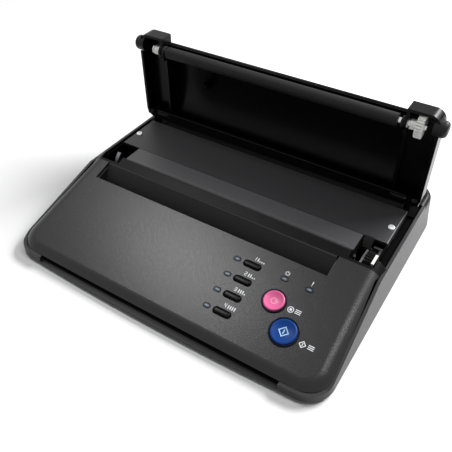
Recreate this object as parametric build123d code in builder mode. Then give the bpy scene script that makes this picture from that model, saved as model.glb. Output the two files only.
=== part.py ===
"""Thermal stencil copier, in millimetres: +X to the operator's right, +Y to the rear, +Z up,
origin on the floor under the middle of the machine, lid standing open."""
import os
from math import atan, cos, degrees, hypot, pi, radians, sin, tan
from build123d import *

# casing
WIDTH = 283.0            # across the foot of the leaning side walls
DEPTH = 230.0            # over the bowed front lip
BOW = 4.0                # the front lip bulges this much between its corners
FOOT_H = 3.0
CORNER_R = 20.0
WALL = 2.4
WALL_LEAN = 6.4          # degrees the walls lean inward going up
WALL_TOP = 34.0
PART_FRONT_Z = 8.5       # parting line round the front, rising from PART_FLAT_Y to PART_KNEE_Y
PART_FLAT_Y = 16.5 - DEPTH / 2
PART_KNEE_Y = -16.0
REAR_COVER_Y = 82.0
REAR_PART_Z = 28.6
SLIP = 0.2               # gap between neighbouring trim pieces
RUN = 0.06               # radial running clearance of shafts
CLEAR = 0.4              # gap kept between bodies that move past each other
# sloping control panel
PANEL_REAR_Y = -1.9
PANEL_REAR_Z = 40.5
PANEL_FRONT_Z = 9.963    # where the panel plane meets the front of the casing
SHOULDER_R = 13.0
NOSE_BACK = 3.0          # the cover's front stands this far behind the lip
NOSE_CORNER = 3.0        # its corners are this much rounder than the casing's
# document recess and exit slot
RECESS_X0, RECESS_X1 = 23.0 - WIDTH / 2, WIDTH / 2 - 38.0
RECESS_Y0, RECESS_Y1 = -29.1, -11.3
CHUTE_T = 1.2
CHUTE_LOW_Z = 20.8
SLOT_X0, SLOT_X1 = 31.5 - WIDTH / 2, WIDTH / 2 - 32.5
LIP_Z = 4.2
# stencil plate, head cover, wells
PLATE_Z = 37.5
PLATE_T = 1.6
PLATE_HALF = WIDTH / 2 - 12.7
PLATE_Y0, PLATE_Y1 = 20.6, 64.5
SCREW_X, SCREW_Y = PLATE_HALF - 4.2, 39.0
LEDGE_Z = 31.0
STRIP_HALF = PLATE_HALF - 19.5
STRIP_Y0, STRIP_Y1 = 0.3, 20.2
WELL_X0, WELL_X1 = STRIP_HALF + 0.5, PLATE_HALF + 0.4
WELL_Y0 = -9.0
# lid, standing open
PIVOT_Y, PIVOT_Z = 70.0, 45.1
LID_HALF = WIDTH / 2 - 5.8
LID_WALL = 2.4
SKIN_Y = 79.5
SKIN_T = 2.2
RIM_Y = 66.5
HEEL_Z = 41.0
RIM_Z = 49.5             # upper edge of the rim along the hinge
EAR_Z = 124.0
EDGE_Z = EAR_Z - 8.0
EAR_X = WELL_X0
ARCH = 8.0
HINGE_R = 3.6
PIN_R = 1.6
BRACKET_X0, BRACKET_X1 = LID_HALF - 11.7, LID_HALF - 7.1
# platen roller
PLATEN_Y, PLATEN_Z = 68.0, EAR_Z - 11.9
PLATEN_R = 5.0
PLATEN_HALF = STRIP_HALF - 4.5
SHAFT_R = 2.5
BUSH_R, BUSH_R_GEAR_SIDE = 4.0, 3.4
BUSH_LEFT_OUT = 8.6      # length of the left bush outside the bearing eye wall
GEAR_X0, GEAR_X1 = WELL_X0 + 9.2, WELL_X0 + 14.2
PLATEN_GEAR_R = 8.8
# release knobs
KNOB_R = 6.4
KNOB_Y, KNOB_Z = 70.5, EAR_Z - 10.5
KNOB_OUT = LID_HALF + 4.8
# gear train, all in one plane under the right-hand well
PINION_Y, PINION_Z, PINION_R = 38.0, 20.0, 4.0
DRIVE_Y, DRIVE_Z, DRIVE_R = 7.0, 25.3, 9.0
FEED_Y, FEED_Z, FEED_R = -23.0, 13.5, 7.0
FEED_RING_R = 5.5
PLATE_GX0, PLATE_GX1 = GEAR_X0 - 2.6, GEAR_X0 - 1.0
# buttons and lamps
BUTTON_X, BUTTON_Y0, BUTTON_PITCH, BUTTON_COUNT = WIDTH / 2 - 91.6, 69.8 - DEPTH / 2, 14.0, 4
BUTTON_L, BUTTON_W = 13.5, 4.2
LAMP_X = BUTTON_X - 12.9
STOP_X, STOP_Y, STOP_R = BUTTON_X + 28.7, BUTTON_Y0 - 17.9, 8.0
COPY_X, COPY_Y, COPY_R = BUTTON_X + 46.0, BUTTON_Y0 - 35.0, 9.7
POWER_X, ERROR_X, STATUS_Y = BUTTON_X + 26.9, BUTTON_X + 46.9, BUTTON_Y0 + 0.6
BEZEL_W = 0.7
PROUD = 1.4
BUTTON_DEEP = 4.2
# rear sockets
REAR = DEPTH / 2
INLET_X, SOCKET_Z = 43.5 - WIDTH / 2, 17.0
ROCKER_X, ROCKER_Y, ROCKER_R = INLET_X + 36.0, REAR - 6.4, 6.8
FOOT_X, FOOT_Y, FOOT_R = WIDTH / 2 - 25.5, DEPTH / 2 - 24.0, 8.0

LEAN = tan(radians(WALL_LEAN))
PANEL_SLOPE = (PANEL_REAR_Z - PANEL_FRONT_Z) / (PANEL_REAR_Y + DEPTH / 2)
TILT = atan(PANEL_SLOPE)
FLOOR_Z = FOOT_H + WALL

os.makedirs("parts", exist_ok=True)


def save(builder, label):
    """Label one finished sub-part and write its STEP file."""
    builder.part.label = label
    export_step(builder.part, f"parts/{label}.step")


def panel_z(y):
    """Height of the panel surface at depth y."""
    return PANEL_REAR_Z + PANEL_SLOPE * (y - PANEL_REAR_Y)


def on_panel(x, y, lift=0.0):
    """Work plane lying on the sloping panel at x, y."""
    tilted = Plane(origin=(x, y, panel_z(y)), x_dir=(1, 0, 0), z_dir=(0, -sin(TILT), cos(TILT)))
    return tilted.offset(lift)


def casing_block(inset, z0, z1, nose=0.0, rounder=0.0):
    """Solid following the leaning outer walls with the bowed front, moved in by inset, between
    two heights; nose flattens the bow from the middle, rounder enlarges the corner radius."""
    foot = inset + (z0 - FOOT_H) * LEAN
    half, rear = WIDTH / 2 - foot, DEPTH / 2 - foot
    with BuildPart() as block:
        with BuildSketch(Plane.XY.offset(z0)) as plan:
            with BuildLine():
                a1 = ThreePointArc((-half, BOW - rear), (0.0, nose - rear), (half, BOW - rear))
                Polyline(a1 @ 1, (half, rear), (-half, rear), a1 @ 0)
            make_face()
            fillet(plan.vertices(), radius=CORNER_R + rounder - foot)
        extrude(amount=z1 - z0, taper=WALL_LEAN)
    return block.part


def profile(points, x0, x1):
    """Prism of a side-view outline (y, z points) between two x positions."""
    with BuildPart() as prism:
        with BuildSketch(Plane.YZ.offset(x0)):
            Polygon(*points, align=None)
        extrude(amount=x1 - x0)
    return prism.part


def brick(x0, x1, y0, y1, z0, z1):
    """Axis-aligned block between limits."""
    with BuildPart() as block:
        with Locations(((x0 + x1) / 2, (y0 + y1) / 2, (z0 + z1) / 2)):
            Box(x1 - x0, y1 - y0, z1 - z0)
    return block.part


def rod(y, z, radius, x0, x1):
    """Round bar along X."""
    with BuildPart() as bar:
        with BuildSketch(Plane.YZ.offset(x0)):
            with Locations((y, z)):
                Circle(radius)
        extrude(amount=x1 - x0)
    return bar.part


def mirrored(solid):
    """A solid and its mirror image across the middle."""
    return [solid, mirror(solid, about=Plane.YZ)]


def parting(offset=0.0):
    """Side-view outline of everything above the lower casing's upper edge."""
    far = DEPTH
    return [
        (-far, PART_FRONT_Z + offset),
        (PART_FLAT_Y, PART_FRONT_Z + offset),
        (PART_KNEE_Y, WALL_TOP + offset),
        (REAR_COVER_Y, WALL_TOP + offset),
        (REAR_COVER_Y, REAR_PART_Z + offset),
        (far, REAR_PART_Z + offset),
        (far, 90.0),
        (-far, 90.0),
    ]


# ---------------------------------------------------------------- lower casing
with BuildPart() as lower_casing:
    add(casing_block(0.0, FOOT_H, WALL_TOP))
    add(casing_block(WALL, FLOOR_Z, WALL_TOP + 2.0), mode=Mode.SUBTRACT)
    add(profile(parting(), -WIDTH, WIDTH), mode=Mode.SUBTRACT)
    add(brick(SLOT_X0, SLOT_X1, -DEPTH, -DEPTH / 2 + 9.0, LIP_Z, 30.0), mode=Mode.SUBTRACT)
    add(brick(INLET_X - 15.4, INLET_X + 15.4, REAR - 12.0, REAR + 8.0, SOCKET_Z - 11.4, SOCKET_Z + 11.4),
        mode=Mode.SUBTRACT)
    add(brick(ROCKER_X - 10.7, ROCKER_X + 10.7, REAR - 12.0, REAR + 8.0, SOCKET_Z - 7.7, SOCKET_Z + 7.7),
        mode=Mode.SUBTRACT)
    for k in range(9):
        add(brick(-60.0 + 14.0 * k, -56.0 + 14.0 * k, 30.0, 62.0, 0.0, FLOOR_Z + 1.0),
            mode=Mode.SUBTRACT)
save(lower_casing, "lower_casing")


# ---------------------------------------------------------------- top front cover
DEEP_BLOCK = 12.0        # the block starts this far below the floor so that its shoulders fit


def cover_block(inset, drop, radius, rear_y):
    """Casing block cut by the sloping panel plane, its shoulders rounded."""
    low = drop / cos(TILT)
    with BuildPart() as block:
        add(casing_block(inset, -DEEP_BLOCK, 52.0, NOSE_BACK, NOSE_CORNER))
        outline = [(-DEPTH, panel_z(-DEPTH) - low), (DEPTH, panel_z(DEPTH) - low),
                   (DEPTH, 200.0), (-DEPTH, 200.0)]
        add(profile(outline, -WIDTH, WIDTH), mode=Mode.SUBTRACT)
        add(brick(-WIDTH, WIDTH, rear_y, DEPTH, -50.0, 200.0), mode=Mode.SUBTRACT)
        top = block.faces().sort_by(Axis((0, 0, 0), (0, -sin(TILT), cos(TILT))))[-1]
        rim = [e for e in top.edges() if e.center().Y < rear_y - 0.5]
        fillet(rim, radius=radius)
    return block.part


def through_panel(sketch_at, shape, clearance=0.0):
    """Cutter through the panel skin for a button, lamp or bezel."""
    with BuildPart() as cutter:
        with BuildSketch(on_panel(*sketch_at, lift=3.0)):
            if shape[0] == "slot":
                SlotOverall(shape[1] + 2 * clearance, shape[2] + 2 * clearance)
            else:
                Circle(shape[1] + clearance)
        extrude(amount=-9.0)
    return cutter.part


BOARD_DROP = 8.2         # upper face of the control board below the panel surface
BOARD_X, BOARD_Y = BUTTON_X + 25.1, BUTTON_Y0 - 21.3
BOARD_POSTS = [(BOARD_X + dx, BOARD_Y + dy)
               for dx, dy in ((-11.0, 20.5), (-11.0, -21.5), (41.0, 20.5), (37.0, -21.5))]
OPTION_YS = [BUTTON_Y0 - BUTTON_PITCH * k for k in range(BUTTON_COUNT)]
OPTION_SHAPE = ("slot", BUTTON_L, BUTTON_W)
LAMP_SHAPE = ("slot", 4.6, 2.4)

with BuildPart() as top_cover:
    add(cover_block(0.0, 0.0, SHOULDER_R, PANEL_REAR_Y))
    add(cover_block(WALL, WALL, SHOULDER_R - WALL, PANEL_REAR_Y - WALL), mode=Mode.SUBTRACT)
    below = [(-DEPTH, -60.0), (DEPTH, -60.0), (DEPTH, WALL_TOP), (PART_KNEE_Y, WALL_TOP),
             (PART_FLAT_Y, PART_FRONT_Z), (-DEPTH, PART_FRONT_Z)]
    add(profile(below, -WIDTH, WIDTH), mode=Mode.SUBTRACT)
    for well in mirrored(brick(WELL_X0 - SLIP, WELL_X1 + SLIP, WELL_Y0 - SLIP, 30.0, 20.0, 60.0)):
        add(well, mode=Mode.SUBTRACT)
    add(brick(RECESS_X0 - 0.1, RECESS_X1 + 0.1, RECESS_Y0 - 0.1, RECESS_Y1 + 0.1, 20.0, 60.0),
        mode=Mode.SUBTRACT)
    for y in OPTION_YS:
        add(through_panel((BUTTON_X, y), OPTION_SHAPE, CLEAR), mode=Mode.SUBTRACT)
        add(through_panel((LAMP_X, y), LAMP_SHAPE, 0.05), mode=Mode.SUBTRACT)
    for x in (POWER_X, ERROR_X):
        add(through_panel((x, STATUS_Y), LAMP_SHAPE, 0.05), mode=Mode.SUBTRACT)
    add(through_panel((STOP_X, STOP_Y), ("round", STOP_R), CLEAR), mode=Mode.SUBTRACT)
    add(through_panel((COPY_X, COPY_Y), ("round", COPY_R), CLEAR), mode=Mode.SUBTRACT)
    for x, y in BOARD_POSTS:
        with BuildSketch(on_panel(x, y, lift=-BOARD_DROP)):
            Circle(2.2)
        extrude(amount=BOARD_DROP - WALL / 2)
save(top_cover, "top_cover")

# ---------------------------------------------------------------- rear cover
with BuildPart() as rear_cover:
    add(casing_block(0.0, REAR_PART_Z, WALL_TOP))
    add(brick(-WIDTH, WIDTH, -DEPTH, REAR_COVER_Y, 0.0, 60.0), mode=Mode.SUBTRACT)
    roof = rear_cover.faces().sort_by(Axis.Z)[-1]
    fillet([e for e in roof.edges() if e.center().Y > REAR_COVER_Y + 0.5], radius=4.0)
    hollow = casing_block(WALL, REAR_PART_Z, WALL_TOP - WALL)
    add(hollow & brick(-WIDTH, WIDTH, REAR_COVER_Y + WALL, DEPTH, 0.0, 60.0), mode=Mode.SUBTRACT)
save(rear_cover, "rear_cover")

# ---------------------------------------------------------------- frame round the plate
with BuildPart() as mid_frame:
    add(casing_block(WALL + SLIP, LEDGE_Z - 2.0, LEDGE_Z))
    add(brick(-WIDTH, WIDTH, -DEPTH, PANEL_REAR_Y + SLIP, 0.0, 60.0), mode=Mode.SUBTRACT)
    add(brick(-WIDTH, WIDTH, REAR_COVER_Y - SLIP, DEPTH, 0.0, 60.0), mode=Mode.SUBTRACT)
    add(brick(-WELL_X1 - SLIP, WELL_X1 + SLIP, -20.0, PLATE_Y1 - 4.0, 0.0, 60.0), mode=Mode.SUBTRACT)
    for side in (-1, 1):
        with Locations((side * (SCREW_X + 2.0), SCREW_Y, LEDGE_Z - 1.0)):
            Box(8.0, 9.0, 2.0)
        with Locations((side * SCREW_X, SCREW_Y, (LEDGE_Z + PLATE_Z - PLATE_T) / 2 - 1.0)):
            Cylinder(2.5, PLATE_Z - PLATE_T - LEDGE_Z + 2.0)
            Cylinder(1.3, 30.0, mode=Mode.SUBTRACT)
save(mid_frame, "mid_frame")

# ---------------------------------------------------------------- stencil plate and screws
with BuildPart() as stencil_plate:
    add(brick(-PLATE_HALF, PLATE_HALF, PLATE_Y0, PLATE_Y1, PLATE_Z - PLATE_T, PLATE_Z))
    for side in mirrored(brick(PLATE_HALF - PLATE_T, PLATE_HALF, PLATE_Y0, PLATE_Y1 - 5.0,
                               LEDGE_Z, PLATE_Z)):
        add(side)
    add(brick(-PLATE_HALF, PLATE_HALF, PLATE_Y1 - PLATE_T, PLATE_Y1, LEDGE_Z, PLATE_Z))
    fillet(stencil_plate.faces().sort_by(Axis.Z)[-1].edges().filter_by(Axis.Y), radius=1.0)
    with Locations((-SCREW_X, SCREW_Y, PLATE_Z), (SCREW_X, SCREW_Y, PLATE_Z)):
        Cylinder(1.6, 12.0, mode=Mode.SUBTRACT)
save(stencil_plate, "stencil_plate")

with BuildPart() as plate_screws:
    with Locations((-SCREW_X, SCREW_Y, PLATE_Z + 0.6), (SCREW_X, SCREW_Y, PLATE_Z + 0.6)):
        Cylinder(2.7, 1.2)
    with Locations((-SCREW_X, SCREW_Y, PLATE_Z - 3.5), (SCREW_X, SCREW_Y, PLATE_Z - 3.5)):
        Cylinder(1.3, 7.0)
    fillet(plate_screws.faces().filter_by(Axis.Z).sort_by(Axis.Z)[-2:].edges(), radius=0.5)
    with Locations((-SCREW_X, SCREW_Y, PLATE_Z + 1.2), (SCREW_X, SCREW_Y, PLATE_Z + 1.2)):
        Box(3.0, 0.6, 1.2, mode=Mode.SUBTRACT)
        Box(0.6, 3.0, 1.2, mode=Mode.SUBTRACT)
save(plate_screws, "plate_screws")

# ---------------------------------------------------------------- thermal head stack
with BuildPart() as head_cover:
    add(brick(-STRIP_HALF, STRIP_HALF, STRIP_Y0, STRIP_Y1, PLATE_Z - 1.4, PLATE_Z))
    add(brick(-STRIP_HALF, STRIP_HALF, STRIP_Y0, STRIP_Y0 + 1.4, 26.0, PLATE_Z))
    for end in mirrored(brick(STRIP_HALF - 1.4, STRIP_HALF, STRIP_Y0, STRIP_Y1, 26.0, PLATE_Z)):
        add(end)
    corners = head_cover.edges().filter_by(Axis.Z).filter_by(lambda e: e.center().Y < STRIP_Y0 + 0.1)
    fillet(corners, radius=2.5)
save(head_cover, "head_cover")

with BuildPart() as heater_line:
    add(brick(-PLATEN_HALF, PLATEN_HALF, 2.4, 4.4, PLATE_Z, PLATE_Z + 0.15))
save(heater_line, "heater_line")

with BuildPart() as thermal_head:
    add(brick(3.3 - STRIP_HALF, STRIP_HALF - 3.3, 2.4, 18.0, 33.4, PLATE_Z - 1.4))
save(thermal_head, "thermal_head")

with BuildPart() as head_heatsink:
    add(brick(3.3 - STRIP_HALF, STRIP_HALF - 3.3, 3.0, 18.0, 26.0, 33.4))
    for k in range(4):
        add(brick(-STRIP_HALF, STRIP_HALF, 5.0 + 3.4 * k, 6.6 + 3.4 * k, 20.0, 31.0), mode=Mode.SUBTRACT)
save(head_heatsink, "head_heatsink")

SPRING_XS = (-84.0, -28.0, 28.0, 84.0)

with BuildPart() as head_springs:
    with Locations([(x, 10.5, 19.0) for x in SPRING_XS]):
        Cylinder(3.4, 14.0)
        Cylinder(2.4, 20.0, mode=Mode.SUBTRACT)
save(head_springs, "head_springs")

with BuildPart() as head_frame:
    add(brick(2.3 - STRIP_HALF, STRIP_HALF - 2.3, 2.0, 19.0, 10.4, 12.0))
    for leg in mirrored(brick(STRIP_HALF - 9.3, STRIP_HALF - 2.3, 2.0, 19.0, FLOOR_Z, 10.4)):
        add(leg)
save(head_frame, "head_frame")

# ---------------------------------------------------------------- wells and latches
with BuildPart() as well_liner_left:
    add(brick(-WELL_X1, -WELL_X0, WELL_Y0, STRIP_Y1, 13.0, 36.6))
    add(brick(-WELL_X1 + 1.2, -WELL_X0 - 1.2, WELL_Y0 + 1.2, STRIP_Y1 - 1.2, 14.4, 60.0),
        mode=Mode.SUBTRACT)
save(well_liner_left, "well_liner_left")

with BuildPart() as well_collar_right:
    add(brick(WELL_X0, WELL_X1, WELL_Y0, STRIP_Y1, 33.4, 36.6))
    add(brick(WELL_X0 + 1.2, WELL_X1 - 1.2, WELL_Y0 + 1.2, STRIP_Y1 - 1.2, 0.0, 60.0),
        mode=Mode.SUBTRACT)
    add(brick(WELL_X1 - 1.2, WELL_X1, WELL_Y0, STRIP_Y1, 20.0, 36.6))
save(well_collar_right, "well_collar_right")

with BuildPart() as latch_lever_left:
    with BuildSketch(Plane.YZ.offset(-WELL_X0 - 13.8)):
        with BuildLine():
            l1 = ThreePointArc((-4.0, 14.4), (-1.5, 27.0), (6.5, 36.5))
            l2 = Line(l1 @ 1, (8.0, 35.4))
            l3 = ThreePointArc(l2 @ 1, (1.4, 26.4), (1.0, 14.4))
            Line(l3 @ 1, l1 @ 0)
        make_face()
    extrude(amount=3.4)
save(latch_lever_left, "latch_lever_left")

with BuildPart() as latch_bracket_right:
    add(brick(WELL_X1 - 3.2, WELL_X1 - 1.4, -6.0, 14.0, 22.0, 36.0))
    add(brick(WELL_X1 - 8.2, WELL_X1 - 1.4, 12.2, 14.0, 35.0, 36.4))
    add(brick(WELL_X0 + 1.4, WELL_X0 + 3.0, -4.0, -1.0, 22.0, 36.0))
save(latch_bracket_right, "latch_bracket_right")

with BuildPart() as latch_tongue_right:
    with BuildSketch(Plane.YZ.offset(WELL_X0 + 1.6)):
        Polygon((12.6, 33.0), (14.4, 33.0), (18.6, 38.2), (18.6, 40.2), (16.8, 40.2), align=None)
    extrude(amount=7.4)
save(latch_tongue_right, "latch_tongue_right")

# ---------------------------------------------------------------- document path
with BuildPart() as document_chute:
    y0, y1, t = RECESS_Y0, RECESS_Y1, CHUTE_T
    outer = [(y1, panel_z(y1) - WALL), (y1, 32.6), (y0 + 6.0, CHUTE_LOW_Z), (y0, CHUTE_LOW_Z),
             (y0, panel_z(y0) - WALL)]
    inner = [(y1 - t, 80.0), (y1 - t, 34.0), (y0 + 5.2, CHUTE_LOW_Z + 1.6),
             (y0 + 5.2, 0.0), (y0 + t, 0.0), (y0 + t, 80.0)]
    add(profile(outer, RECESS_X0, RECESS_X1))
    add(profile(inner, RECESS_X0 + t, RECESS_X1 - t), mode=Mode.SUBTRACT)
save(document_chute, "document_chute")

with BuildPart() as image_sensor:
    add(brick(RECESS_X0 + 6.5, RECESS_X1 - 5.5, -43.0, -31.0, FLOOR_Z, 15.4))
    add(brick(RECESS_X0 + 10.5, RECESS_X1 - 9.5, -40.5, -33.5, 15.4, 16.6))
save(image_sensor, "image_sensor")

with BuildPart() as feed_shaft:
    add(rod(FEED_Y, FEED_Z, SHAFT_R, 1.4 - GEAR_X0, GEAR_X1 + 1.4))
save(feed_shaft, "feed_shaft")

with BuildPart() as feed_rings:
    for k in range(5):
        x = 21.0 - GEAR_X0 + 41.0 * k
        add(rod(FEED_Y, FEED_Z, FEED_RING_R, x, x + 18.0))
        add(rod(FEED_Y, FEED_Z, SHAFT_R, x - 1.0, x + 19.0), mode=Mode.SUBTRACT)
save(feed_rings, "feed_rings")

with BuildPart() as feed_bearing:
    add(brick(2.0 - GEAR_X0, 5.4 - GEAR_X0, FEED_Y - 5.0, FEED_Y + 5.0, FLOOR_Z, 19.0))
    add(rod(FEED_Y, FEED_Z, SHAFT_R + RUN, -GEAR_X0, 8.0 - GEAR_X0), mode=Mode.SUBTRACT)
save(feed_bearing, "feed_bearing")


# ---------------------------------------------------------------- gears and motor
def gear(y, z, outer, teeth, bore, x0=GEAR_X0, x1=GEAR_X1):
    """Spur gear in the YZ plane: a rim disc with straight-sided teeth round it."""
    depth = 1.1
    pitch = 2 * pi / teeth
    outline = []
    for k in range(teeth):
        for part, r in ((0.0, outer - depth), (0.28, outer), (0.55, outer), (0.83, outer - depth)):
            angle = (k + part) * pitch
            outline.append((y + r * cos(angle), z + r * sin(angle)))
    with BuildPart() as wheel:
        add(profile(outline, x0, x1))
        add(rod(y, z, bore, x0 - 1.0, x1 + 1.0), mode=Mode.SUBTRACT)
    return wheel.part


def idler(y_a, z_a, r_a, y_b, z_b, r_b):
    """Centre and radius of the wheel that fills the line between two others."""
    span = hypot(y_b - y_a, z_b - z_a)
    radius = (span - r_a - r_b - 2 * CLEAR) / 2
    step = (r_a + CLEAR + radius) / span
    return y_a + (y_b - y_a) * step, z_a + (z_b - z_a) * step, radius


IDLER_A = idler(PINION_Y, PINION_Z, PINION_R, DRIVE_Y, DRIVE_Z, DRIVE_R)
IDLER_B = idler(DRIVE_Y, DRIVE_Z, DRIVE_R, FEED_Y, FEED_Z, FEED_R)
STUD_R = 1.8

with BuildPart() as gear_plate:
    edge = [(-34.0, FLOOR_Z), (52.0, FLOOR_Z), (52.0, 32.4), (-8.0, 32.4), (-34.0, 25.0)]
    add(profile(edge, PLATE_GX0, PLATE_GX1))
    add(rod(PINION_Y, PINION_Z, 5.0, PLATE_GX0 - 1.0, GEAR_X0), mode=Mode.SUBTRACT)
    add(rod(FEED_Y, FEED_Z, SHAFT_R + RUN, PLATE_GX0 - 1.0, GEAR_X0), mode=Mode.SUBTRACT)
    for y, z in (IDLER_A[:2], (DRIVE_Y, DRIVE_Z), IDLER_B[:2]):
        add(rod(y, z, STUD_R, PLATE_GX1, GEAR_X1 + 0.9))
save(gear_plate, "gear_plate")

with BuildPart() as stepper_motor:
    add(rod(PINION_Y, PINION_Z, 12.2, PLATE_GX0 - 18.4, PLATE_GX0))
    add(rod(PINION_Y, PINION_Z, 4.6, PLATE_GX0, PLATE_GX1 - 0.4))
save(stepper_motor, "stepper_motor")

with BuildPart() as motor_pinion:
    add(gear(PINION_Y, PINION_Z, PINION_R, 12, 0.9))
    add(rod(PINION_Y, PINION_Z, 0.9, PLATE_GX1 + 0.2, GEAR_X1 + 0.9))
save(motor_pinion, "motor_pinion")

with BuildPart() as idler_gear_head:
    add(gear(IDLER_A[0], IDLER_A[1], IDLER_A[2], 26, STUD_R + RUN))
save(idler_gear_head, "idler_gear_head")

with BuildPart() as drive_gear:
    add(gear(DRIVE_Y, DRIVE_Z, DRIVE_R, 26, STUD_R + RUN))
save(drive_gear, "drive_gear")

with BuildPart() as idler_gear_feed:
    add(gear(IDLER_B[0], IDLER_B[1], IDLER_B[2], 22, STUD_R + RUN))
save(idler_gear_feed, "idler_gear_feed")

with BuildPart() as feed_gear:
    add(gear(FEED_Y, FEED_Z, FEED_R, 20, SHAFT_R))
save(feed_gear, "feed_gear")

# ---------------------------------------------------------------- circuit boards
BOARD_Z = 9.0
MAIN_X0, MAIN_X1 = 45.5 - WIDTH / 2, WIDTH / 2 - 57.5
SUPPLY_X0, SUPPLY_X1 = ROCKER_X + 26.0, WIDTH / 2 - 29.5
SUPPLY_Y0, SUPPLY_Y1 = REAR - 32.0, REAR - 8.0

with BuildPart() as main_board:
    add(brick(MAIN_X0, MAIN_X1, 24.0, 72.0, BOARD_Z, BOARD_Z + 1.6))
    with Locations([(x, y, (FLOOR_Z + BOARD_Z) / 2) for x in (MAIN_X0 + 4.0, MAIN_X1 - 4.0)
                    for y in (27.0, 69.0)]):
        Cylinder(2.6, BOARD_Z - FLOOR_Z)
save(main_board, "main_board")

with BuildPart() as supply_board:
    add(brick(SUPPLY_X0, SUPPLY_X1, SUPPLY_Y0, SUPPLY_Y1, BOARD_Z, BOARD_Z + 1.6))
    with Locations([(x, y, (FLOOR_Z + BOARD_Z) / 2) for x in (SUPPLY_X0 + 3.0, SUPPLY_X1 - 3.0)
                    for y in (SUPPLY_Y0 + 3.0, SUPPLY_Y1 - 3.0)]):
        Cylinder(2.6, BOARD_Z - FLOOR_Z)
save(supply_board, "supply_board")

with BuildPart() as board_parts:
    top = BOARD_Z + 1.6
    x0, x1, y0 = MAIN_X0, SUPPLY_X1, SUPPLY_Y0
    add(brick(x0 + 36.0, x0 + 60.0, 36.0, 60.0, top, top + 2.4))
    add(brick(x0 + 76.0, x0 + 100.0, 30.0, 44.0, top, top + 2.0))
    add(brick(x0 + 116.0, x0 + 146.0, 62.0, 70.0, top, top + 7.0))
    add(brick(x0 + 6.0, x0 + 16.0, 30.0, 66.0, top, top + 6.0))
    add(brick(x1 - 68.0, x1 - 42.0, y0 + 2.0, y0 + 22.0, top, top + 14.0))
    for k in range(3):
        with Locations((x1 - 132.0 + 16.0 * k, y0 + 12.0, top + 6.0)):
            Cylinder(5.0, 12.0)
    add(brick(x1 - 28.0, x1 - 6.0, y0 + 4.0, y0 + 7.0, top, top + 13.0))
save(board_parts, "board_parts")

with BuildPart() as control_board:
    with BuildSketch(on_panel(BOARD_X, BOARD_Y, lift=-BOARD_DROP - 1.6)):
        Rectangle(90.0, 52.0)
    extrude(amount=1.6)
save(control_board, "control_board")

SWITCH_AT = [(BUTTON_X, y) for y in OPTION_YS] + [(STOP_X, STOP_Y), (COPY_X, COPY_Y)]

with BuildPart() as tact_switches:
    for x, y in SWITCH_AT:
        with BuildSketch(on_panel(x, y, lift=-BOARD_DROP)):
            Rectangle(6.0, 6.0)
        extrude(amount=1.8)
        with BuildSketch(on_panel(x, y, lift=-BOARD_DROP + 1.8)):
            Circle(1.7)
        extrude(amount=0.9)
save(tact_switches, "tact_switches")

# ---------------------------------------------------------------- rear inlet and power switch
with BuildPart() as mains_inlet:
    add(brick(INLET_X - 15.2, INLET_X + 15.2, REAR - 2.4, REAR, SOCKET_Z - 11.2, SOCKET_Z + 11.2))
    add(brick(INLET_X - 13.4, INLET_X + 13.4, REAR - 19.0, REAR - 2.4, SOCKET_Z - 9.8, SOCKET_Z + 9.8))
    with BuildSketch(Plane.XZ.offset(-REAR - 1.0)):
        with Locations((INLET_X, SOCKET_Z)):
            Polygon((-12.0, -7.8), (12.0, -7.8), (12.0, 3.6), (8.0, 7.8), (-8.0, 7.8), (-12.0, 3.6))
    extrude(amount=16.0, mode=Mode.SUBTRACT)
save(mains_inlet, "mains_inlet")

with BuildPart() as inlet_pins:
    for dx, dz in ((-7.0, -1.8), (0.0, 2.2), (7.0, -1.8)):
        add(brick(INLET_X + dx - 1.0, INLET_X + dx + 1.0, REAR - 15.0, REAR - 3.0,
                  SOCKET_Z + dz - 2.0, SOCKET_Z + dz + 2.0))
save(inlet_pins, "inlet_pins")

with BuildPart() as rocker_housing:
    add(brick(ROCKER_X - 10.5, ROCKER_X + 10.5, REAR - 2.4, REAR - 0.2, SOCKET_Z - 7.5, SOCKET_Z + 7.5))
    add(brick(ROCKER_X - 9.4, ROCKER_X + 9.4, REAR - 16.0, REAR - 2.4, SOCKET_Z - 6.4, SOCKET_Z + 6.4))
    add(brick(ROCKER_X - 7.3, ROCKER_X + 7.3, REAR - 14.2, REAR + 2.0, SOCKET_Z - 5.2, SOCKET_Z + 5.2),
        mode=Mode.SUBTRACT)
save(rocker_housing, "rocker_housing")

with BuildPart() as power_rocker:
    with BuildSketch(Plane.XY.offset(SOCKET_Z - 4.7)):
        with Locations((ROCKER_X, ROCKER_Y)):
            Circle(ROCKER_R)
            Polygon((-9.0, 7.8), (0.0, 5.0), (9.0, 4.2), (9.0, 10.0), (-9.0, 10.0), align=None,
                    mode=Mode.SUBTRACT)
    extrude(amount=9.4)
save(power_rocker, "power_rocker")

# ---------------------------------------------------------------- underside
with BuildPart() as rubber_feet:
    with Locations([(x, y, FOOT_H / 2) for x in (-FOOT_X, FOOT_X) for y in (-FOOT_Y, FOOT_Y)]):
        Cylinder(FOOT_R, FOOT_H)
    fillet(rubber_feet.faces().sort_by(Axis.Z)[:4].edges(), radius=0.8)
save(rubber_feet, "rubber_feet")

with BuildPart() as base_screws:
    with Locations([(x, y, FOOT_H - 0.5) for x in (13.5 - WIDTH / 2, WIDTH / 2 - 13.5)
                    for y in (55.0 - DEPTH / 2, DEPTH / 2 - 55.0)]):
        Cylinder(3.0, 1.0)
        Box(3.4, 0.7, 2.0, mode=Mode.SUBTRACT)
        Box(0.7, 3.4, 2.0, mode=Mode.SUBTRACT)
save(base_screws, "base_screws")


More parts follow.
